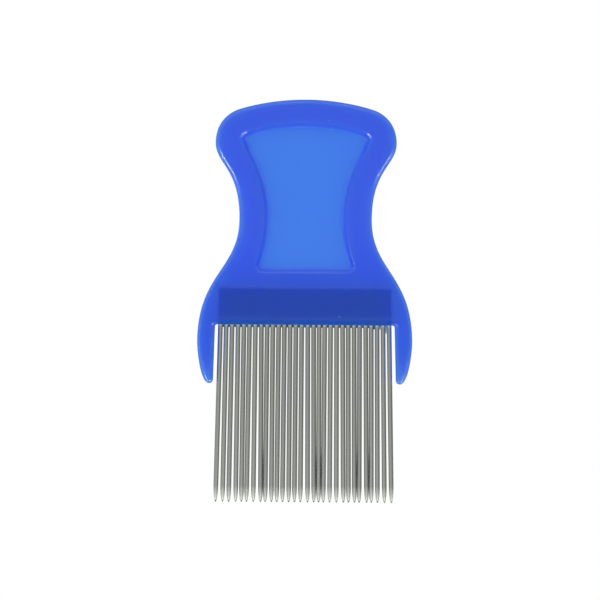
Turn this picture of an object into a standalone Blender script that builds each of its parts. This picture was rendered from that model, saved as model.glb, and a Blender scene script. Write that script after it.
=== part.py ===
"""Flea comb: a moulded translucent handle with thirty separate steel pins sunk into its shoulder.

The comb lies flat on its back face. +X runs across the teeth, +Y runs from the tooth tips to the
crown of the handle, +Z is the thickness. The origin is under the middle of the comb. Metres.
"""
import math

import bmesh
import bpy
from mathutils import Vector

MM = 0.001

# Driving dimensions
LENGTH = 100.0 * MM
THICKNESS = 5.0 * MM
WEB_THICKNESS = 2.0 * MM
EDGE_ROUND = 0.5 * MM
TOOTH_COUNT = 30
TOOTH_DIAMETER = 1.2 * MM
ROOT_PITCH = 1.431 * MM
TOOTH_REACH = 44.1 * MM
ROOT_DEPTH = 9.0 * MM
SOCKET_GAP = 0.05 * MM
SOCKET_LEAD = 0.5 * MM

# The tooth's point: half of a long ellipse, made fuller by a bluntness below 1, and its rings
POINT_LENGTH = 4.2 * MM
POINT_BLUNTNESS = 2 / 3
POINT_RINGS = 6

# How far each tip leans sideways from its root: the row fans out, and the pins are not quite true
TIP_LEAN = [
    lean * MM
    for lean in (
        -1.10, -0.80, -0.70, -0.40, -0.40, -0.55, -0.30, 0.00, -0.15, -0.10,
        -0.20, -0.20, -0.10, -0.10, -0.05, 0.30, 0.35, 0.15, 0.00, 0.05,
        0.30, 0.60, 0.45, 0.45, 0.30, 0.60, 0.45, 0.50, 0.80, 1.10,
    )
]

# Places along the comb, measured from the tooth tips
TIPS_Y = -LENGTH / 2
MID_Z = THICKNESS / 2

# Right half of the handle's outline, from the crown down to the horn and up its inner edge.
# Each row: x, height above the tooth tips, direction of travel in degrees, handle length before
# and after the point, in mm. A length of 0 makes a straight stretch on that side.
HANDLE_HALF = (
    (0.00, 100.0, 0, 7.2, 7.2),
    (17.00, 97.4, -19, 3.7, 1.2),
    (22.45, 89.2, -90, 5.8, 5.3),
    (16.42, 70.4, -90, 12.4, 12.8),
    (26.68, 39.7, -90, 17.1, 1.7),
    (23.64, 29.5, 180, 2.3, 0.55),
    (22.70, 30.5, 91, 0.55, 0.0),
    (22.31, 43.6, 91, 0.0, 0.3),
    (21.80, 44.1, 180, 0.3, 0.0),
)

# Right half of the recess floor, from its crown down to its lower edge
RECESS_HALF = (
    (0.00, 92.95, 0, 5.0, 5.0),
    (14.45, 90.56, -21, 4.5, 0.43),
    (14.81, 89.55, -120, 0.43, 5.0),
    (8.90, 71.3, -90, 7.5, 4.5),
    (11.05, 58.7, -71, 4.0, 0.3),
    (10.70, 58.2, 180, 0.3, 0.0),
)
RECESS_FILLET = 0.9 * MM

OUTLINE_STEPS = 9
EDGE_STEPS = 1
TOOTH_SIDES = 12
WELD_DISTANCE = 0.002 * MM
MERGE_DISTANCE = 0.01 * MM

PLASTIC_BLUE = (0.045, 0.115, 0.74, 1.0)
PLASTIC_ROUGHNESS = 0.3
STEEL_GREY = (0.46, 0.47, 0.46, 1.0)
STEEL_ROUGHNESS = 0.22


def clear_scene():
    for obj in list(bpy.data.objects):
        bpy.data.objects.remove(obj, do_unlink=True)


def new_collection(name):
    collection = bpy.data.collections.new(name)
    bpy.context.scene.collection.children.link(collection)
    return collection


def new_material(name, colour, roughness, metallic):
    material = bpy.data.materials.new(name)
    material.use_nodes = True
    shader = material.node_tree.nodes["Principled BSDF"]
    shader.inputs["Base Color"].default_value = colour
    shader.inputs["Roughness"].default_value = roughness
    shader.inputs["Metallic"].default_value = metallic
    material.diffuse_color = colour
    return material


def mirrored(half):
    """Both halves of an outline, clockwise: the left half is the right one in reverse."""
    left = [(-x, y, -angle, after, before) for x, y, angle, before, after in reversed(half[1:])]
    return list(half) + left


def outline_curve(name, half, half_height, bevel):
    """A filled 2D curve of the mirrored outline, with its long edges rounded by the bevel."""
    curve = bpy.data.curves.new(name, "CURVE")
    curve.dimensions = "2D"
    curve.fill_mode = "BOTH"
    curve.extrude = half_height
    curve.bevel_depth = bevel
    curve.bevel_resolution = EDGE_STEPS
    curve.resolution_u = OUTLINE_STEPS
    points = mirrored(half)
    spline = curve.splines.new("BEZIER")
    spline.bezier_points.add(len(points) - 1)
    spline.use_cyclic_u = True
    for point, (x, y, angle, before, after) in zip(spline.bezier_points, points):
        place = Vector((x * MM, y * MM + TIPS_Y, 0.0))
        heading = Vector((math.cos(math.radians(angle)), math.sin(math.radians(angle)), 0.0))
        point.handle_left_type = "FREE"
        point.handle_right_type = "FREE"
        point.co = place
        point.handle_left = place - heading * before * MM
        point.handle_right = place + heading * after * MM
    return curve


def curve_to_mesh_object(curve, collection, height):
    """Turns a filled curve into a mesh object whose caps are welded to its sides."""
    source = bpy.data.objects.new(curve.name, curve)
    source.location.z = height
    collection.objects.link(source)
    bpy.context.view_layer.update()
    evaluated = source.evaluated_get(bpy.context.evaluated_depsgraph_get())
    mesh = bpy.data.meshes.new_from_object(evaluated)
    place = source.matrix_world.copy()
    name = source.name
    bpy.data.objects.remove(source, do_unlink=True)
    shell = bmesh.new()
    shell.from_mesh(mesh)
    bmesh.ops.remove_doubles(shell, verts=shell.verts, dist=WELD_DISTANCE)
    bmesh.ops.recalc_face_normals(shell, faces=shell.faces)
    shell.to_mesh(mesh)
    shell.free()
    obj = bpy.data.objects.new(name, mesh)
    obj.matrix_world = place
    collection.objects.link(obj)
    return obj


def make_cutter(obj):
    obj.display_type = "WIRE"
    obj.hide_render = True


def root_x(index):
    return (index - (TOOTH_COUNT - 1) / 2) * ROOT_PITCH


def tooth_length():
    return TOOTH_REACH + ROOT_DEPTH


def tooth_turn(index):
    """Rotation that lays a tooth along +Y and leans it from its root."""
    return (-math.pi / 2, 0.0, math.atan2(TIP_LEAN[index], tooth_length()))


def place_along_tooth(obj, index, distance_from_tip):
    """Puts the object's origin on the tooth's axis, with its +Z running up to the root."""
    share = 1.0 - distance_from_tip / tooth_length()
    obj.location = (
        root_x(index) + TIP_LEAN[index] * share,
        TIPS_Y + distance_from_tip,
        MID_Z,
    )
    obj.rotation_euler = tooth_turn(index)


def tooth_profile():
    """Half section of a tooth, from the root's axis down its outer side to the tip's axis."""
    mesh = bpy.data.meshes.new("tooth_profile")
    radius = TOOTH_DIAMETER / 2
    section = [(0.0, tooth_length()), (radius, tooth_length())]
    for ring in range(POINT_RINGS, 0, -1):
        angle = math.pi / 2 * ring / POINT_RINGS
        out = radius * math.sin(angle) ** POINT_BLUNTNESS
        section.append((out, POINT_LENGTH * (1.0 - math.cos(angle))))
    section.append((0.0, 0.0))
    vertices = [(x, 0.0, z) for x, z in section]
    edges = [(i, i + 1) for i in range(len(vertices) - 1)]
    mesh.from_pydata(vertices, edges, [])
    return mesh


def add_tooth(index, profile, collection):
    tooth = bpy.data.objects.new(f"tooth_{index + 1:02d}", profile)
    place_along_tooth(tooth, index, 0.0)
    turn = tooth.modifiers.new("turned", "SCREW")
    turn.axis = "Z"
    turn.angle = 2 * math.pi
    turn.steps = TOOTH_SIDES
    turn.render_steps = TOOTH_SIDES
    turn.use_merge_vertices = True
    turn.merge_threshold = MERGE_DISTANCE
    turn.use_smooth_shade = True
    collection.objects.link(tooth)


def add_teeth(collection):
    profile = tooth_profile()
    profile.materials.append(new_material("polished_steel", STEEL_GREY, STEEL_ROUGHNESS, 1.0))
    for index in range(TOOTH_COUNT):
        add_tooth(index, profile, collection)


def add_recess_cutters(cutters):
    """One pocket from each face, with a filleted wall, leaves the web in the middle."""
    reach = (THICKNESS - WEB_THICKNESS) / 2
    rise = WEB_THICKNESS / 2 + reach + RECESS_FILLET
    for name, side in (("front_recess_cut", 1), ("back_recess_cut", -1)):
        curve = outline_curve(name, RECESS_HALF, reach, RECESS_FILLET)
        make_cutter(curve_to_mesh_object(curve, cutters, MID_Z + side * rise))


def add_socket_cutters(cutters):
    """A blind round hole along each tooth's axis, open at the shoulder's lower edge."""
    mouth = TOOTH_REACH - SOCKET_LEAD
    bottom = tooth_length() + SOCKET_GAP
    for index in range(TOOTH_COUNT):
        bpy.ops.mesh.primitive_cylinder_add(
            vertices=TOOTH_SIDES,
            radius=TOOTH_DIAMETER / 2 + SOCKET_GAP,
            depth=bottom - mouth,
        )
        cutter = bpy.context.object
        cutter.name = f"socket_cut_{index + 1:02d}"
        place_along_tooth(cutter, index, (mouth + bottom) / 2)
        for collection in cutter.users_collection:
            collection.objects.unlink(cutter)
        cutters.objects.link(cutter)
        make_cutter(cutter)


def add_handle(collection, cutters):
    plastic = new_material("translucent_blue_plastic", PLASTIC_BLUE, PLASTIC_ROUGHNESS, 0.0)
    curve = outline_curve("handle", HANDLE_HALF, THICKNESS / 2 - EDGE_ROUND, EDGE_ROUND)
    curve.offset = -EDGE_ROUND
    handle = curve_to_mesh_object(curve, collection, MID_Z)
    handle.data.materials.append(plastic)
    cut = handle.modifiers.new("recesses_and_sockets", "BOOLEAN")
    cut.operation = "DIFFERENCE"
    cut.operand_type = "COLLECTION"
    cut.collection = cutters


def build():
    clear_scene()
    comb = new_collection("flea_comb")
    cutters = new_collection("cutters")
    add_recess_cutters(cutters)
    add_socket_cutters(cutters)
    add_handle(comb, cutters)
    add_teeth(comb)


build()
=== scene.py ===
"""Looks of the flea comb: translucent blue moulding, drawn steel pins, white table and soft light.

The comb lies flat on the table with its teeth towards -Y. Lengths are in millimetres where a name
ends in _MM or a table says so, and metres everywhere else.
"""

import math

import bmesh
import bpy
import numpy as np
from mathutils import Matrix, Vector


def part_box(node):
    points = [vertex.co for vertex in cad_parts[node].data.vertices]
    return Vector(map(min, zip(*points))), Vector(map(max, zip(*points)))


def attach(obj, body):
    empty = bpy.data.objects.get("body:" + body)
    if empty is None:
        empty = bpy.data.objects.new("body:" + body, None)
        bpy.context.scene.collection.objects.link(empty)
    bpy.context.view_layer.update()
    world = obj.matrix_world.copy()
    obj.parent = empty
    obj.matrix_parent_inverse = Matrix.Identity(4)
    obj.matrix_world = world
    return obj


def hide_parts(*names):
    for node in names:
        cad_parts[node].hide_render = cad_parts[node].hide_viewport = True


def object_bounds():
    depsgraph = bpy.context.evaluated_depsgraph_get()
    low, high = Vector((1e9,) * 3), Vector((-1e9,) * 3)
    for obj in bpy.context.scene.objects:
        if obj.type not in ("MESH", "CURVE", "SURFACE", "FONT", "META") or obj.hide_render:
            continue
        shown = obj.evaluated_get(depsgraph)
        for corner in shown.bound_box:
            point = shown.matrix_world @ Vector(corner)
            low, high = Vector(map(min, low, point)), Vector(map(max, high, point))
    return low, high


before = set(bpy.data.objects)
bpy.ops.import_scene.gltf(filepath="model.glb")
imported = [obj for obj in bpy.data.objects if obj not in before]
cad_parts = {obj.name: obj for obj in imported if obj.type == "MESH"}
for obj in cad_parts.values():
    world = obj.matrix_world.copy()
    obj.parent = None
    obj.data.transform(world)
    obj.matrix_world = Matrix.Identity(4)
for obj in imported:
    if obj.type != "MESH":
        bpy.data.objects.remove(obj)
CAD_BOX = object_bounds()

MM = 0.001

# Thickness of the handle and the web, and how the edges are rounded
HANDLE_LOW, HANDLE_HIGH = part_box("handle")
THICKNESS = HANDLE_HIGH.z - HANDLE_LOW.z
MID_Z = (HANDLE_HIGH.z + HANDLE_LOW.z) / 2
CROWN_Y = HANDLE_HIGH.y
TIPS_Y = CAD_BOX[0][1]
WEB_THICKNESS = 2.0 * MM
EDGE_ROUND = 1.25 * MM
EDGE_STEPS = 12

# How finely the outlines are drawn, and how the rounding shrinks where the plastic is narrow: the
# share of the free width it may take, and how many times its changes are smoothed along the outline
BEZIER_STEPS = 200
OUTLINE_SPACING = 0.3 * MM
RECESS_SPACING = 0.15 * MM
ROUND_SHARE = 0.8
ROUND_SMOOTHING = 12
NEVER_FACING = 1e-9

# Right half of the handle's outline, from the crown to the horn and up the horn's inner edge.
# Each row: x, height above the tooth tips, direction of travel in degrees, handle length before
# and after the point, in mm. A length of 0 makes a straight stretch on that side.
HANDLE_HALF = (
    (0.00, 100.0, 0, 7.2, 7.2),
    (17.00, 97.4, -19, 3.7, 1.2),
    (22.45, 89.2, -90, 5.8, 5.3),
    (16.42, 70.4, -90, 12.4, 12.8),
    (26.68, 39.7, -90, 17.1, 1.7),
    (23.64, 29.5, 180, 2.3, 0.55),
    (22.70, 30.5, 91, 0.55, 0.0),
    (22.31, 43.6, 91, 0.0, 0.3),
    (21.80, 44.1, 180, 0.3, 0.0),
)

# Right half of the recess floor, from its crown down to its lower edge
RECESS_HALF = (
    (0.00, 92.95, 0, 5.0, 5.0),
    (14.45, 90.56, -21, 4.5, 0.43),
    (14.81, 89.55, -120, 0.43, 5.0),
    (8.90, 71.3, -90, 7.5, 4.5),
    (11.05, 58.7, -71, 4.0, 0.3),
    (10.70, 58.2, 180, 0.3, 0.0),
)

# The recess wall: a fillet at the floor, a steep slope, and a rounded rim that is softer around the
# top corners
WALL_ANGLE = math.radians(56)
WALL_FILLET = 0.25 * MM
WALL_RIM = 0.40 * MM
CORNER_RIM = 1.20 * MM
CORNER = (14.63 * MM, TIPS_Y + 90.05 * MM)
CORNER_REACH = 1.5 * MM
ARC_STEPS = 6
HANDLE_SHARP_DEGREES = 35

# Teeth: the point is half of a long ellipse, made fuller by a bluntness below 1. The wire is ground
# dull from a little above the point down to its nose, which is left bright.
TOOTH_SIDES = 40
TOOTH_REACH = 44.1 * MM
POINT_LENGTH = 4.2 * MM
POINT_BLUNTNESS = 2 / 3
NOSE_LENGTH = 0.6 * MM
GRIND_START = 4.5 * MM
GRIND_END = 2.5 * MM
POINT_RINGS = 24
WIRE_RINGS = (0.3, 0.5, 0.7, 0.9)
ROOT_CHAMFER = 0.08 * MM
END_SLICE = 0.05 * MM
PIN_SHARP_DEGREES = 50
SOCKET_SIDES = 24
SOCKET_GAP = 0.02 * MM
SOCKET_LEAD = 2.6 * MM
ROOT_LINE = TIPS_Y + TOOTH_REACH

# Gaps, counted from 0 on the left, where two pins lean together until they touch at the start of their
# points, and the painted shade in the narrow gap above that
CLOSED_GAPS = (7, 16, 17, 23, 25)
CONTACT = 0.004 * MM
CLOSING_PASSES = 12
GAP_SHADE_HEIGHT = 9.0 * MM
GAP_SHADE_HALF_LENGTH = 2.8 * MM
GAP_SHADE_FADE = 3.0 * MM
GAP_SHADE_HALF_WIDTH = 0.42 * MM

# Plastic that crept between the pins in the mould: short tongues in every gap, longer in three
TONGUE_HALF_WIDTH = 0.46 * MM
TONGUE_HALF_HEIGHT = 0.42 * MM
TONGUE_REACH = 0.68 * MM
TONGUE_ROUNDS = 3
LONG_TONGUES = {26: 1.0 * MM, 27: 1.0 * MM, 28: 2.1 * MM}

# Blue plastic: its colour by region, and how far red, green and blue light travel inside it
BLUE_HEAD = (0.047, 0.133, 0.805)
BLUE_SHOULDER = (0.031, 0.114, 0.800)
BLUE_WEB = (0.0158, 0.080, 0.710)
# Painted light: the horn tips are lighter
BLUE_TIP_PAINTED_LIGHT = (0.058, 0.164, 0.900)
# Painted shade over the buried roots, where the pins block the light coming through the plastic,
# lighter at their lower edge
BLUE_ROOTS_PAINTED_SHADE = (0.0072, 0.076, 0.995)
BLUE_ROOT_EDGE_PAINTED_SHADE = (0.0200, 0.094, 0.999)
# Painted light: the rounded edges are lighter, as light shines through the thinner plastic there
BLUE_EDGE_PAINTED_LIGHT = (0.056, 0.168, 0.830)
# Painted light: the foot of the recess walls is lighter
BLUE_WALL_PAINTED_LIGHT = (0.056, 0.168, 0.900)
# Painted sheen on the sloping foot of the recess
BLUE_SILL_PAINTED_SHEEN = (0.085, 0.180, 0.900)
# Painted shade on the tongues between the pins
BLUE_TONGUE_PAINTED_SHADE = (0.004, 0.016, 0.160)
BLUE_SPECK = (0.120, 0.200, 0.640)
SCATTER_MM = (10.0, 12.0, 14.0)
PLASTIC_ROUGHNESS = 0.09
PLASTIC_IOR = 1.5
FULL_SHINE = 0.5

# Where each region of the plastic lies, and how softly it fades into the next
WEB_FADE = 0.20 * MM
WALL_FADE = 1.0 * MM
WEB_TOP = TIPS_Y + 95.0 * MM
WEB_HALF_WIDTH = 15.0 * MM
HORN_START = TIPS_Y + 37.0 * MM
HORN_END = TIPS_Y + 30.0 * MM
WAIST_Y = TIPS_Y + 70.0 * MM
ROOT_END = ROOT_LINE + 9.0 * MM
ROOT_FADE = 0.5 * MM
ROOT_HALF_WIDTH = 21.4 * MM
# Tongues to the right of this are left without the painted shade
UNSHADED_TONGUES_X = 17.4 * MM
TONGUE_FADE = 0.1 * MM

# Where slopes are polished or dull. The recess walls are dull, but for their top corners, the right
# wall below the waist, and the foot. The edge over the pins is dull between the shoulders' sides.
CORNER_X = 14.6 * MM
POLISHED_X = 8.6 * MM
POLISHED_Y = TIPS_Y + 58.9 * MM
POLISH_FADE = 0.6 * MM
WAIST_FADE = 6.0 * MM
SHOULDER_HALF_WIDTH = 22.8 * MM

# How level the surface is, as the upright part of its normal, where each look begins and is full
WALL_SLOPE = (0.98, 0.85)
EDGE_SLOPE = (1.0, 0.8)
SHEEN_SLOPE = (1.0, 0.95)
DULL_SLOPE = (1.0, 0.995)

# Fine detail of the plastic: scales of its patterns per metre, where each begins and is full, and
# how much they roughen or raise the surface
CLOUD_SCALE = (150.0, 150.0, 150.0)
CLOUD_ROUGHNESS = 0.06
WAVE_SCALE = (140.0, 140.0, 60.0)
WAVE_DEPTH = 0.012 * MM
SCRATCH_DEGREES = (35, 110)
SCRATCH_SCALE = (2500.0, 60.0, 200.0)
SCRATCH_RANGE = (0.75, 0.82)
SCRATCH_ROUGHNESS = 0.1
SCRATCH_DEPTH = 0.012
SPECKS_PER_METRE = 350.0
SPECK_EDGE = (0.09, 0.06)
SPECK_CHOICE = (0.90, 0.92)

# Steel of the pins
STEEL_DARK = (0.50, 0.53, 0.48)
STEEL_LIGHT = (0.62, 0.65, 0.59)
# Painted shade where neighbouring pins crowd a pin, found by ambient occlusion
STEEL_PAINTED_SHADE = (0.13, 0.14, 0.125)
# Painted highlight on the wire just below the root line
STEEL_ROOT_PAINTED_HIGHLIGHT = (0.90, 0.95, 0.96)
# Painted shade in the narrow closed gaps between pins
STEEL_GAP_PAINTED_SHADE = (0.020, 0.022, 0.018)
PAINTED_SHADE_DISTANCE = 0.6 * MM
PAINTED_SHADE_RANGE = (0.75, 0.0)
BATCH_SHARE = 0.5
DRAWN_SCALE = (9000.0, 60.0, 9000.0)
GROUND_SCALE = (300.0, 14000.0, 300.0)
GRAIN_DEPTH = 0.0008 * MM
GRAIN_ROUGHNESS = 0.05
STEEL_ROUGHNESS = 0.13
POINT_ROUGHNESS = 0.14

# Camera: straight above, framed as a 149 mm square, with the comb a touch right of the middle
VIEW_WIDTH = 149.0 * MM
LENS = 240.0
SENSOR = 36.0
CAMERA_ROLL = math.radians(0.453)
COMB_OFFSET = Vector((1.24 * MM, -0.30 * MM))
FARTHEST_SEEN = 20.0

# Table: its side, and how far it lies below the comb
TABLE_SIZE = 6.0
TABLE_DROP = 0.2 * MM

# Light: how bright the table and the room look, how they shine on the comb, and how they look
# mirrored in it
TABLE_SEEN = 1.0
TABLE_GLOW = 1.0
TABLE_MIRRORED = 1.7
SHADED_TABLE_MIRRORED = 0.3
ROOM_SEEN = 0.95
ROOM_GLOW = 0.49
ROOM_MIRRORED = 0.44
DARK_SCREEN_MIRRORED = 0.22
MAX_BOUNCES = 12

# What the comb mirrors high up in the room, as parts of a unit direction: where the screen fades in
# along X, how high the panels begin, and for each panel where it fades in along Y, and how bright
DARK_SCREEN = (0.50, 0.75)
PANELS_ABOVE = (0.28, 0.45)
PANELS = (
    (0.01, -0.42, 1.90),
    (-0.40, -0.55, 0.10),
    (0.35, 0.80, 1.30),
)

# Lamps, all raised 45 degrees: name, compass direction from +X in degrees, size in m, power in W,
# and whether they light the plastic or are only mirrored in it
LAMP_DISTANCE = 0.9
LAMPS = (
    ("left_softbox", 204, 0.17, 0.22, 2.2, True),
    ("right_softbox", 336, 0.14, 0.20, 1.0, True),
    ("front_left_softbox", 232, 0.30, 0.30, 6.0, False),
    ("front_right_softbox", 308, 0.30, 0.30, 6.0, False),
)


# ---------------------------------------------------------------------------------- small helpers


def link(obj):
    bpy.context.scene.collection.objects.link(obj)
    return obj


def mesh_object(name, shell):
    mesh = bpy.data.meshes.new(name)
    shell.to_mesh(mesh)
    shell.free()
    return link(bpy.data.objects.new(name, mesh))


def shade_smooth(obj, angle_degrees):
    obj.data.shade_smooth()
    obj.data.set_sharp_from_angle(angle=math.radians(angle_degrees))


def place_piece(obj, slot, material, *nodes):
    """Every piece of the comb rides on its only body."""
    obj.data.materials.clear()
    obj.data.materials.append(material)
    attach(obj, "root")
    if nodes:
        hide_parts(*nodes)
    return obj


# ------------------------------------------------------------------------------ outlines and rings


def bezier(start, end, steps):
    """Points of the stretch between two rows of an outline table, without its last point."""
    x0, y0, angle0, _, after = start
    x1, y1, angle1, before, _ = end
    p0 = np.array((x0, y0))
    p3 = np.array((x1, y1))
    p1 = p0 + after * np.array((math.cos(math.radians(angle0)), math.sin(math.radians(angle0))))
    p2 = p3 - before * np.array((math.cos(math.radians(angle1)), math.sin(math.radians(angle1))))
    t = np.linspace(0.0, 1.0, steps, endpoint=False)[:, None]
    return (1 - t) ** 3 * p0 + 3 * (1 - t) ** 2 * t * p1 + 3 * (1 - t) * t ** 2 * p2 + t ** 3 * p3


def closed_outline(half, spacing):
    """The mirrored outline, clockwise, as points spaced evenly along it, in metres."""
    left = [(-x, y, -angle, after, before) for x, y, angle, before, after in reversed(half[1:])]
    rows = list(half) + left
    dense = np.vstack([bezier(a, b, BEZIER_STEPS) for a, b in zip(rows, rows[1:] + rows[:1])]) * MM
    dense[:, 1] += TIPS_Y
    ring = np.vstack([dense, dense[:1]])
    travelled = np.concatenate([[0.0], np.cumsum(np.linalg.norm(np.diff(ring, axis=0), axis=1))])
    count = int(round(travelled[-1] / spacing))
    stations = np.linspace(0.0, travelled[-1], count, endpoint=False)
    return np.column_stack([np.interp(stations, travelled, ring[:, k]) for k in range(2)])


def smoothed(values, passes):
    for _ in range(passes):
        values = (np.roll(values, 1, axis=0) + 2 * values + np.roll(values, -1, axis=0)) / 4
    return values


def inward_normals(points):
    """Unit normals towards the inside of a clockwise outline."""
    tangent = np.roll(points, -1, axis=0) - np.roll(points, 1, axis=0)
    normal = np.column_stack([tangent[:, 1], -tangent[:, 0]])
    return normal / np.linalg.norm(normal, axis=1)[:, None]


def clearance(points, normals):
    """Radius of the largest circle inside the outline that touches it at each point."""
    step = points[None, :, :] - points[:, None, :]
    along = (step * normals[:, None, :]).sum(axis=2)
    square = (step ** 2).sum(axis=2)
    facing = along > NEVER_FACING
    radius = np.where(facing, square / np.maximum(2 * along, NEVER_FACING), np.inf)
    return radius.min(axis=1)


def add_ring(shell, points, heights):
    return [shell.verts.new((x, y, z)) for (x, y), z in zip(points, heights)]


def bridge(shell, upper, lower):
    """A strip of quads between two rings with the same number of points."""
    count = len(upper)
    for i in range(count):
        j = (i + 1) % count
        shell.faces.new((upper[i], upper[j], lower[j], lower[i]))


def edges_of(ring):
    following = ring[1:] + ring[:1]
    return [
        next(edge for edge in vertex.link_edges if other in edge.verts)
        for vertex, other in zip(ring, following)
    ]


def fill_flat(shell, *rings):
    """Fills the flat region inside the first ring and outside the others."""
    edges = [edge for ring in rings for edge in edges_of(ring)]
    bmesh.ops.triangle_fill(shell, use_beauty=True, use_dissolve=False, edges=edges)


# ------------------------------------------------------------------------------------- the handle


def edge_profile():
    """Quarter round of the outer edge: how far in, and how far below the face, as fractions."""
    angles = np.linspace(0.0, math.pi / 2, EDGE_STEPS + 1)
    return [(1.0 - math.cos(a), 1.0 - math.sin(a)) for a in angles]


def recess_profile(rim):
    """Section of the recess wall: distance out from the floor's edge, and height above the floor."""
    depth = (THICKNESS - WEB_THICKNESS) / 2
    section = []
    for step in range(ARC_STEPS + 1):
        angle = WALL_ANGLE * step / ARC_STEPS
        section.append((WALL_FILLET * math.sin(angle), WALL_FILLET * (1 - math.cos(angle))))
    out, up = section[-1]
    slope_rise = depth - up - rim * (1 - math.cos(WALL_ANGLE))
    out += slope_rise / math.tan(WALL_ANGLE)
    up += slope_rise
    for step in range(ARC_STEPS + 1):
        angle = WALL_ANGLE * (1 - step / ARC_STEPS)
        run = rim * (math.sin(WALL_ANGLE) - math.sin(angle))
        rise = rim * (math.cos(angle) - math.cos(WALL_ANGLE))
        section.append((out + run, up + rise))
    return np.array(section)


def recess_sections(floor):
    """The wall's section at each point of the floor's edge: the rim is softer at the top corners."""
    away = np.hypot(np.abs(floor[:, 0]) - CORNER[0], floor[:, 1] - CORNER[1])
    soft = np.exp(-((away / CORNER_REACH) ** 2))[:, None, None]
    return recess_profile(WALL_RIM) * (1 - soft) + recess_profile(CORNER_RIM) * soft


def handle_shell():
    """The moulding as one closed skin: rounded rim, and a web recessed from both faces."""
    shell = bmesh.new()
    outline = closed_outline(HANDLE_HALF, OUTLINE_SPACING)
    normals = inward_normals(outline)
    room = np.minimum(clearance(outline, normals) * ROUND_SHARE, EDGE_ROUND)
    room = smoothed(room, ROUND_SMOOTHING)
    floor = closed_outline(RECESS_HALF, RECESS_SPACING)
    floor_normals = inward_normals(floor)
    faces = {}
    for side in (1, -1):
        face_z = MID_Z + side * THICKNESS / 2
        web_z = MID_Z + side * WEB_THICKNESS / 2
        rings = []
        for inset, drop in edge_profile():
            ring = outline + normals * (room * inset)[:, None]
            rings.append(add_ring(shell, ring, face_z - side * room * drop))
        walls = []
        for out, up in np.moveaxis(recess_sections(floor), 0, 2):
            walls.append(add_ring(shell, floor - floor_normals * out[:, None], web_z + side * up))
        for strip in (rings, walls):
            for outer, inner in zip(strip, strip[1:]):
                bridge(shell, outer, inner)
        faces[side] = rings[0]
        fill_flat(shell, rings[-1], walls[-1])
        fill_flat(shell, walls[0])
    bridge(shell, faces[1], faces[-1])
    bmesh.ops.recalc_face_normals(shell, faces=shell.faces)
    return shell


def tooth_axis(node):
    """Tip and root of a CAD tooth, as the middles of its two ends."""
    points = np.array([v.co for v in node.data.vertices])
    low, high = points[:, 1].min(), points[:, 1].max()
    tip = points[points[:, 1] < low + END_SLICE].mean(axis=0)
    root = points[points[:, 1] > high - END_SLICE].mean(axis=0)
    return Vector(tip), Vector(root)


def close_gaps(axes, radius):
    """Leans the two pins of each closed gap together; the passes settle a pin that has two of them."""
    tips = [tip.copy() for tip, _ in axes]
    share = 1.0 - POINT_LENGTH / (axes[0][1].y - axes[0][0].y)
    for _ in range(CLOSING_PASSES):
        for gap in CLOSED_GAPS:
            apart = tips[gap + 1].x - tips[gap].x
            roots = axes[gap + 1][1].x - axes[gap][1].x
            left_open = apart * share + roots * (1.0 - share) - 2 * radius - CONTACT
            tips[gap].x += left_open / share / 2
            tips[gap + 1].x -= left_open / share / 2
    return [(tip, root) for tip, (_, root) in zip(tips, axes)]


def gap_shade_lines(axes):
    """X of the line midway between the two pins of each closed gap, along which its painted shade runs.
    """
    share = GAP_SHADE_HEIGHT / (axes[0][1].y - axes[0][0].y)
    middles = [tip.lerp(root, share).x for tip, root in axes]
    return [(middles[gap] + middles[gap + 1]) / 2 for gap in CLOSED_GAPS]


def axis_matrix(start, end):
    """Places local +Z along the line from start to end."""
    turn = (end - start).to_track_quat("Z", "Y").to_matrix().to_4x4()
    return Matrix.Translation(start) @ turn


def add_tongues(axes):
    """Thin lens-shaped tongues of plastic that fill the start of each gap between two pins."""
    shell = bmesh.new()
    middles = [tip.lerp(root, TOOTH_REACH / (root.y - tip.y)) for tip, root in axes]
    for gap, (left, right) in enumerate(zip(middles, middles[1:])):
        reach = LONG_TONGUES.get(gap, TONGUE_REACH)
        size = Matrix.Diagonal((TONGUE_HALF_WIDTH, reach, TONGUE_HALF_HEIGHT, 1.0))
        place = Matrix.Translation((left + right) / 2) @ size
        bmesh.ops.create_icosphere(shell, subdivisions=TONGUE_ROUNDS, radius=1.0, matrix=place)
    return mesh_object("tongues", shell)


def socket_cutters(axes, tooth_radius):
    """A round bar for each pin, from below its tongues to just past its root."""
    shell = bmesh.new()
    for tip, root in axes:
        direction = (root - tip).normalized()
        mouth = tip + direction * ((TOOTH_REACH - SOCKET_LEAD) / direction.y)
        bottom = root + direction * SOCKET_GAP
        bmesh.ops.create_cone(
            shell,
            cap_ends=True,
            segments=SOCKET_SIDES,
            radius1=tooth_radius + SOCKET_GAP,
            radius2=tooth_radius + SOCKET_GAP,
            depth=(bottom - mouth).length,
            matrix=axis_matrix((mouth + bottom) / 2, bottom),
        )
    return mesh_object("socket_cutters", shell)


def apply_booleans(handle, *steps):
    """Applies each operation with its tool object in turn, and removes the tools."""
    for operation, tool in steps:
        boolean = handle.modifiers.new(tool.name, "BOOLEAN")
        boolean.operation = operation
        boolean.object = tool
        boolean.solver = "MANIFOLD"
    depsgraph = bpy.context.evaluated_depsgraph_get()
    mesh = bpy.data.meshes.new_from_object(handle.evaluated_get(depsgraph))
    handle.modifiers.clear()
    handle.data = mesh
    for _, tool in steps:
        bpy.data.objects.remove(tool, do_unlink=True)


def make_handle(material, axes, tooth_radius):
    handle = mesh_object("blue_handle", handle_shell())
    tongues = add_tongues(axes)
    cutters = socket_cutters(axes, tooth_radius)
    apply_booleans(handle, ("UNION", tongues), ("DIFFERENCE", cutters))
    shade_smooth(handle, HANDLE_SHARP_DEGREES)
    weigh = handle.modifiers.new("flat faces stay flat", "WEIGHTED_NORMAL")
    weigh.keep_sharp = True
    return place_piece(handle, "blue_plastic", material, "handle")


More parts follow.
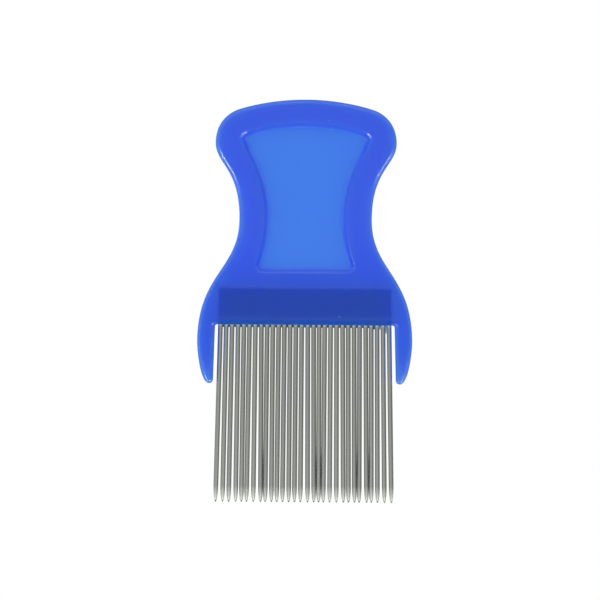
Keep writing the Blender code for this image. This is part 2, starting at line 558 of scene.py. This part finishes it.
# --------------------------------------------------------------------------------------- the teeth


def tooth_section(length, radius):
    """Half section of a pin from its tip: a long elliptical point and the straight wire."""
    section = []
    for angle in np.linspace(0.0, math.pi / 2, POINT_RINGS + 1):
        out = radius * math.sin(angle) ** POINT_BLUNTNESS
        section.append((out, POINT_LENGTH * (1.0 - math.cos(angle))))
    section += [(radius, length * share) for share in WIRE_RINGS]
    section += [(radius, length - ROOT_CHAMFER), (radius - ROOT_CHAMFER, length), (0.0, length)]
    return section


def make_tooth(name, node, axis, radius, material):
    tip, root = axis
    section = tooth_section((root - tip).length, radius)
    shell = bmesh.new()
    rings = []
    for out, up in section[1:-1]:
        ring = []
        for i in range(TOOTH_SIDES):
            angle = 2 * math.pi * i / TOOTH_SIDES
            ring.append(shell.verts.new((out * math.cos(angle), out * math.sin(angle), up)))
        rings.append(ring)
    for lower, upper in zip(rings, rings[1:]):
        bridge(shell, lower, upper)
    for ring, (_, up) in ((rings[0], section[0]), (rings[-1], section[-1])):
        middle = shell.verts.new((0.0, 0.0, up))
        for i in range(TOOTH_SIDES):
            shell.faces.new((middle, ring[i], ring[(i + 1) % TOOTH_SIDES]))
    bmesh.ops.recalc_face_normals(shell, faces=shell.faces)
    shell.transform(axis_matrix(tip, root))
    tooth = mesh_object(name, shell)
    shade_smooth(tooth, PIN_SHARP_DEGREES)
    return place_piece(tooth, "pin_steel", material, node.name)


# --------------------------------------------------------------------------------------- materials


class Graph:
    """Short calls for wiring a node tree."""

    def __init__(self, tree):
        self.tree = tree

    def feed(self, socket, value):
        """Links an output to the socket, or gives the socket a plain value."""
        if isinstance(value, bpy.types.NodeSocket):
            self.tree.links.new(value, socket)
        else:
            socket.default_value = value

    def add(self, kind, inputs=None, **settings):
        node = self.tree.nodes.new(kind)
        for name, value in settings.items():
            setattr(node, name, value)
        for name, value in (inputs or {}).items():
            self.feed(node.inputs[name], value)
        return node

    def math(self, operation, *values):
        node = self.add("ShaderNodeMath", operation=operation)
        for socket, value in zip(node.inputs, values):
            self.feed(socket, value)
        return node.outputs[0]

    def step(self, value, low, high):
        """A smooth rise from 0 at low to 1 at high, or a fall where high is the smaller."""
        inputs = {"Value": value, "From Min": low, "From Max": high}
        return self.add("ShaderNodeMapRange", inputs, interpolation_type="SMOOTHSTEP").outputs[0]

    def blend(self, factor, first, second):
        """Mixes two colours."""
        node = self.add("ShaderNodeMix", data_type="RGBA")
        sockets = [socket for socket in node.inputs if socket.enabled]
        for socket, value in zip(sockets, (factor, first, second)):
            self.feed(socket, value)
        return next(socket for socket in node.outputs if socket.enabled)

    def stretched(self, vector, scale):
        node = self.add("ShaderNodeVectorMath", operation="MULTIPLY")
        self.feed(node.inputs[0], vector)
        self.feed(node.inputs[1], scale)
        return node.outputs[0]

    def noise(self, vector, scale, detail=2.0):
        inputs = {"Vector": self.stretched(vector, scale), "Scale": 1.0, "Detail": detail}
        return self.add("ShaderNodeTexNoise", inputs).outputs[0]


def new_material(name):
    """A material, the calls that wire its nodes, and its Principled shader."""
    material = bpy.data.materials.new(name)
    material.use_nodes = True
    tree = material.node_tree
    return material, Graph(tree), tree.nodes["Principled BSDF"]


def within(graph, value, low, high, soft):
    """1 between low and high, with edges that fade over twice the softness."""
    rise = graph.step(value, low - soft, low + soft)
    fall = graph.step(value, high + soft, high - soft)
    return graph.math("MULTIPLY", rise, fall)


def invert(graph, mask):
    return graph.math("SUBTRACT", 1.0, mask)


def pick(graph, colour, mask, other):
    return graph.blend(mask, colour, (*other, 1.0))


def recess_masks(graph, x, y, z, facing):
    """Masks for the whole recess, the web at its bottom, and the foot of the sloping walls."""
    inside = graph.step(graph.math("ABSOLUTE", x), WEB_HALF_WIDTH + WEB_FADE, WEB_HALF_WIDTH)
    recess = graph.math("MULTIPLY", inside, within(graph, y, ROOT_END, WEB_TOP, ROOT_FADE))
    height = graph.math("ABSOLUTE", graph.math("SUBTRACT", z, MID_Z))
    thin = graph.step(height, WEB_THICKNESS / 2 + WEB_FADE, WEB_THICKNESS / 2)
    foot = graph.step(height, WEB_THICKNESS / 2 + WALL_FADE, WEB_THICKNESS / 2)
    sloping = graph.math("MULTIPLY", graph.step(facing, *WALL_SLOPE), foot)
    web = graph.math("MULTIPLY", thin, recess)
    wall = graph.math("MULTIPLY", sloping, recess)
    return recess, web, wall


def plastic_colour(graph, x, y, facing, recess, web, wall):
    """Clearer in the web; painted light lightens the rounded edges, the horn tips and the foot of the
    recess walls, and lays a sheen on the recess's sloping foot; painted shade darkens the buried roots,
    least at their lower edge, and the tongues between the pins.
    """
    colour = (*BLUE_SHOULDER, 1.0)
    colour = pick(graph, colour, graph.step(y, ROOT_END, WAIST_Y), BLUE_HEAD)
    # Painted light on the rounded edges, for light shining through the thinner plastic
    rounded = graph.math("MULTIPLY", invert(graph, recess), graph.step(facing, *EDGE_SLOPE))
    colour = pick(graph, colour, rounded, BLUE_EDGE_PAINTED_LIGHT)
    colour = pick(graph, colour, web, BLUE_WEB)
    # Painted light on the foot of the recess walls
    colour = pick(graph, colour, wall, BLUE_WALL_PAINTED_LIGHT)
    # Painted sheen: the sloping foot of the recess is lighter
    foot = graph.math("MULTIPLY", recess, graph.step(y, POLISHED_Y, POLISHED_Y - POLISH_FADE))
    painted_sheen = graph.math("MULTIPLY", foot, graph.step(facing, *SHEEN_SLOPE))
    colour = pick(graph, colour, painted_sheen, BLUE_SILL_PAINTED_SHEEN)
    # Painted light on the horn tips
    colour = pick(graph, colour, graph.step(y, HORN_START, HORN_END), BLUE_TIP_PAINTED_LIGHT)
    # Painted shade over the buried roots, where the pins block the light coming through the plastic,
    # least at their lower edge
    across = within(graph, x, -ROOT_HALF_WIDTH, ROOT_HALF_WIDTH, ROOT_FADE)
    along = within(graph, y, ROOT_LINE, ROOT_END, ROOT_FADE)
    low = graph.step(y, ROOT_LINE + 2 * EDGE_ROUND, ROOT_LINE + EDGE_ROUND)
    roots = graph.blend(low, (*BLUE_ROOTS_PAINTED_SHADE, 1.0), (*BLUE_ROOT_EDGE_PAINTED_SHADE, 1.0))
    colour = graph.blend(graph.math("MULTIPLY", across, along), colour, roots)
    # Painted shade on the tongues below the root edge, but not on the long ones on the right
    below = graph.step(y, ROOT_LINE, ROOT_LINE - TONGUE_FADE)
    across = within(graph, x, -ROOT_HALF_WIDTH, UNSHADED_TONGUES_X, TONGUE_FADE)
    return pick(graph, colour, graph.math("MULTIPLY", below, across), BLUE_TONGUE_PAINTED_SHADE)


def dull_slopes(graph, x, y, facing, recess):
    """Slopes the mould left dull: the root edge, and the recess walls but for their polished parts."""
    beside = graph.step(graph.math("ABSOLUTE", x), CORNER_X, CORNER_X - POLISH_FADE)
    right = graph.step(x, POLISHED_X, POLISHED_X + POLISH_FADE)
    polished = graph.math("MULTIPLY", right, graph.step(y, WAIST_Y, WAIST_Y - WAIST_FADE))
    polished = graph.math("MAXIMUM", polished, graph.step(y, POLISHED_Y, POLISHED_Y - POLISH_FADE))
    walls = graph.math("MULTIPLY", graph.math("MULTIPLY", recess, beside), invert(graph, polished))
    across = within(graph, x, -SHOULDER_HALF_WIDTH, SHOULDER_HALF_WIDTH, POLISH_FADE)
    along = graph.step(y, ROOT_LINE + 2 * EDGE_ROUND, ROOT_LINE + EDGE_ROUND)
    edge = graph.math("MULTIPLY", across, along)
    either = graph.math("MAXIMUM", walls, edge)
    return graph.math("MULTIPLY", either, graph.step(facing, *DULL_SLOPE))


def plastic_scratches(graph, place):
    """Hairlines from handling, in two directions."""
    masks = []
    for angle in SCRATCH_DEGREES:
        turned = graph.add("ShaderNodeVectorRotate", {"Vector": place, "Angle": math.radians(angle)})
        lines = graph.noise(turned.outputs[0], SCRATCH_SCALE, 1.0)
        masks.append(graph.step(lines, *SCRATCH_RANGE))
    return graph.math("MAXIMUM", *masks)


def plastic_specks(graph, place):
    """A few motes of dust and tiny bubbles in the moulding."""
    inputs = {"Vector": place, "Scale": SPECKS_PER_METRE}
    cells = graph.add("ShaderNodeTexVoronoi", inputs)
    dot = graph.step(cells.outputs["Distance"], *SPECK_EDGE)
    tone = graph.add("ShaderNodeSeparateXYZ", {"Vector": cells.outputs["Color"]}).outputs[0]
    return graph.math("MULTIPLY", dot, graph.step(tone, *SPECK_CHOICE))


def plastic_material():
    material, graph, shader = new_material("translucent_blue_plastic")
    place = graph.add("ShaderNodeTexCoord").outputs["Object"]
    x, y, z = graph.add("ShaderNodeSeparateXYZ", {"Vector": place}).outputs
    scratches = plastic_scratches(graph, place)
    specks = plastic_specks(graph, place)
    normal = graph.add("ShaderNodeTexCoord").outputs["Normal"]
    facing = graph.math("ABSOLUTE", graph.add("ShaderNodeSeparateXYZ", {"Vector": normal}).outputs[2])
    recess, web, wall = recess_masks(graph, x, y, z, facing)
    colour = pick(graph, plastic_colour(graph, x, y, facing, recess, web, wall), specks, BLUE_SPECK)
    clouds = graph.noise(place, CLOUD_SCALE)
    cloudy = graph.math("MULTIPLY_ADD", clouds, CLOUD_ROUGHNESS, PLASTIC_ROUGHNESS)
    rough = graph.math("MULTIPLY_ADD", scratches, SCRATCH_ROUGHNESS, cloudy)
    waves = graph.noise(place, WAVE_SCALE)
    height = graph.math("MULTIPLY_ADD", scratches, -SCRATCH_DEPTH, waves)
    bump = graph.add("ShaderNodeBump", {"Height": height, "Distance": WAVE_DEPTH})
    graph.feed(shader.inputs["Base Color"], colour)
    graph.feed(shader.inputs["Roughness"], rough)
    graph.feed(shader.inputs["Normal"], bump.outputs[0])
    polished = invert(graph, dull_slopes(graph, x, y, facing, recess))
    graph.feed(shader.inputs["Specular IOR Level"], graph.math("MULTIPLY", polished, FULL_SHINE))
    shader.inputs["IOR"].default_value = PLASTIC_IOR
    shader.inputs["Subsurface Weight"].default_value = 1.0
    shader.inputs["Subsurface Radius"].default_value = SCATTER_MM
    shader.inputs["Subsurface Scale"].default_value = 1.0 * MM
    return material


def steel_grain(graph, place, point):
    """Fine lines drawn along the wire, which give way to rings where the point was ground."""
    drawn = graph.noise(place, DRAWN_SCALE)
    ground = graph.noise(place, GROUND_SCALE)
    change = graph.math("SUBTRACT", ground, drawn)
    return graph.math("MULTIPLY_ADD", point, change, drawn)


def painted_gap_shade(graph, x, y, lines):
    """Painted shade in the narrow gap between the two pins of each closed gap."""
    gap_shade = 0.0
    for line in lines:
        away = graph.math("ABSOLUTE", graph.math("SUBTRACT", x, line))
        gap_shade = graph.math("MAXIMUM", gap_shade, graph.step(away, GAP_SHADE_HALF_WIDTH, 0.0))
    middle = TIPS_Y + GAP_SHADE_HEIGHT
    along = within(graph, y, middle - GAP_SHADE_HALF_LENGTH, middle + GAP_SHADE_HALF_LENGTH, GAP_SHADE_FADE)
    return graph.math("MULTIPLY", gap_shade, along)


def steel_colour(graph, x, y, grain, lines):
    """Each pin has its own tone, with painted shade where its neighbours crowd it, painted shade in the
    closed gaps, and a painted highlight just below the root line.
    """
    batch = graph.add("ShaderNodeObjectInfo").outputs["Random"]
    along_wire = graph.math("MULTIPLY", grain, 1.0 - BATCH_SHARE)
    tone = graph.math("MULTIPLY_ADD", batch, BATCH_SHARE, along_wire)
    colour = graph.blend(tone, (*STEEL_DARK, 1.0), (*STEEL_LIGHT, 1.0))
    # Painted shade where neighbouring pins crowd this one
    open_air = graph.add("ShaderNodeAmbientOcclusion", {"Distance": PAINTED_SHADE_DISTANCE}).outputs["AO"]
    colour = pick(graph, colour, graph.step(open_air, *PAINTED_SHADE_RANGE), STEEL_PAINTED_SHADE)
    # Painted shade in the closed gaps
    colour = pick(graph, colour, painted_gap_shade(graph, x, y, lines), STEEL_GAP_PAINTED_SHADE)
    # Painted highlight just below the root line
    return pick(graph, colour, graph.step(y, ROOT_LINE - TONGUE_REACH, ROOT_LINE), STEEL_ROOT_PAINTED_HIGHLIGHT)


def steel_material(lines):
    """Drawn and polished wire with a ground point, no two pins quite alike."""
    material, graph, shader = new_material("drawn_steel")
    place = graph.add("ShaderNodeTexCoord").outputs["Object"]
    x, y, _ = graph.add("ShaderNodeSeparateXYZ", {"Vector": place}).outputs
    point = graph.step(y, TIPS_Y + GRIND_START, TIPS_Y + GRIND_END)
    nose = graph.step(y, TIPS_Y + NOSE_LENGTH / 2, TIPS_Y + NOSE_LENGTH)
    grain = steel_grain(graph, place, point)
    rough = graph.math("MULTIPLY_ADD", grain, GRAIN_ROUGHNESS, STEEL_ROUGHNESS)
    rough = graph.math("MULTIPLY_ADD", graph.math("MULTIPLY", point, nose), POINT_ROUGHNESS, rough)
    bump = graph.add("ShaderNodeBump", {"Height": grain, "Distance": GRAIN_DEPTH})
    graph.feed(shader.inputs["Base Color"], steel_colour(graph, x, y, grain, lines))
    graph.feed(shader.inputs["Roughness"], rough)
    graph.feed(shader.inputs["Normal"], bump.outputs[0])
    shader.inputs["Metallic"].default_value = 1.0
    return material


# ------------------------------------------------------------------------------- stage and camera


def glow_tree(tree, kinds, seen, glow, mirrored):
    """One strength for the camera, one for the light that falls on things, one for mirror images."""
    tree.nodes.clear()
    graph = Graph(tree)
    path = graph.add("ShaderNodeLightPath")
    by_kind = graph.add("ShaderNodeMix", {"Factor": path.outputs["Is Glossy Ray"]}, data_type="FLOAT")
    by_kind.inputs["A"].default_value = glow
    graph.feed(by_kind.inputs["B"], mirrored(graph))
    strength = graph.add("ShaderNodeMix", {"Factor": path.outputs["Is Camera Ray"]}, data_type="FLOAT")
    graph.feed(strength.inputs["A"], by_kind.outputs["Result"])
    strength.inputs["B"].default_value = seen
    shader = graph.add(kinds[0], {"Strength": strength.outputs["Result"]})
    shader.inputs["Color"].default_value = (1.0, 1.0, 1.0, 1.0)
    graph.add(kinds[1], {"Surface": shader.outputs[0]})


def shift(graph, value, mask, target):
    """Moves a plain number or an output towards the target where the mask is 1."""
    return graph.math("MULTIPLY_ADD", mask, graph.math("SUBTRACT", target, value), value)


def table_mirrored(graph):
    """In mirror images the table carries a painted shadow under the comb, and is bright around the
    tips.
    """
    place = graph.add("ShaderNodeTexCoord").outputs["Object"]
    y = graph.add("ShaderNodeSeparateXYZ", {"Vector": place}).outputs[1]
    front = graph.step(y, TIPS_Y + POINT_LENGTH, TIPS_Y)
    return shift(graph, SHADED_TABLE_MIRRORED, front, TABLE_MIRRORED)


def room_mirrored(graph):
    """Even, but for a dark screen on the right, a bright panel over a dark wall, and a bright back."""
    direction = graph.add("ShaderNodeTexCoord").outputs["Generated"]
    x, y, z = graph.add("ShaderNodeSeparateXYZ", {"Vector": direction}).outputs
    glow = shift(graph, ROOM_MIRRORED, graph.step(x, *DARK_SCREEN), DARK_SCREEN_MIRRORED)
    above = graph.step(z, *PANELS_ABOVE)
    for begins, full, brightness in PANELS:
        panel = graph.math("MULTIPLY", above, graph.step(y, begins, full))
        glow = shift(graph, glow, panel, brightness)
    return glow


def make_stage():
    """A white light table: the comb casts no shadow on it."""
    bpy.ops.mesh.primitive_plane_add(size=TABLE_SIZE, location=(0.0, 0.0, -TABLE_DROP))
    table = bpy.context.object
    table.name = "light_table"
    material = bpy.data.materials.new("white_table")
    material.use_nodes = True
    kinds = ("ShaderNodeEmission", "ShaderNodeOutputMaterial")
    glow_tree(material.node_tree, kinds, TABLE_SEEN, TABLE_GLOW, table_mirrored)
    table.data.materials.append(material)


def make_world():
    """An even, pale studio all round."""
    world = bpy.data.worlds.new("soft_room")
    bpy.context.scene.world = world
    world.use_nodes = True
    kinds = ("ShaderNodeBackground", "ShaderNodeOutputWorld")
    glow_tree(world.node_tree, kinds, ROOM_SEEN, ROOM_GLOW, room_mirrored)


def make_softbox(name, azimuth, width, height, power, lights_up, lit):
    """A rectangular lamp over the comb's side at a compass direction from +X, for some objects only."""
    light = bpy.data.lights.new(name, "AREA")
    light.shape = "RECTANGLE"
    light.size = width
    light.size_y = height
    light.energy = power
    lamp = link(bpy.data.objects.new(name, light))
    lamp.light_linking.receiver_collection = lit
    lamp.visible_diffuse = lights_up
    a = math.radians(azimuth)
    direction = Vector((math.cos(a), math.sin(a), 1.0)).normalized()
    lamp.location = direction * LAMP_DISTANCE
    lamp.rotation_euler = direction.to_track_quat("Z", "Y").to_euler()


def make_lights(handle):
    """The pins only mirror the room and the table; the lamps draw the lights on the plastic."""
    lit = bpy.data.collections.new("lit_by_lamps")
    lit.objects.link(handle)
    for lamp in LAMPS:
        make_softbox(*lamp, lit)


def make_camera():
    camera = bpy.data.cameras.new("camera")
    camera.lens = LENS
    camera.sensor_width = SENSOR
    camera.clip_end = FARTHEST_SEEN
    eye = link(bpy.data.objects.new("camera", camera))
    middle_y = (TIPS_Y + CROWN_Y) / 2
    offset = Matrix.Rotation(CAMERA_ROLL, 2) @ COMB_OFFSET
    height = MID_Z + VIEW_WIDTH * LENS / SENSOR
    eye.location = (-offset.x, middle_y - offset.y, height)
    eye.rotation_euler = (0.0, 0.0, CAMERA_ROLL)
    bpy.context.scene.camera = eye


def main():
    plastic = plastic_material()
    nodes = [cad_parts[name] for name in sorted(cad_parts) if name.startswith("tooth")]
    axes = [tooth_axis(node) for node in nodes]
    low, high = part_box(nodes[0].name)
    radius = (high.z - low.z) / 2
    axes = close_gaps(axes, radius)
    steel = steel_material(gap_shade_lines(axes))
    handle = make_handle(plastic, axes, radius)
    for number, (node, axis) in enumerate(zip(nodes, axes), 1):
        make_tooth(f"steel_pin_{number:02d}", node, axis, radius, steel)
    make_stage()
    make_world()
    make_lights(handle)
    make_camera()
    scene = bpy.context.scene
    scene.view_settings.view_transform = "Standard"
    scene.view_settings.look = "None"
    scene.cycles.max_bounces = MAX_BOUNCES


main()
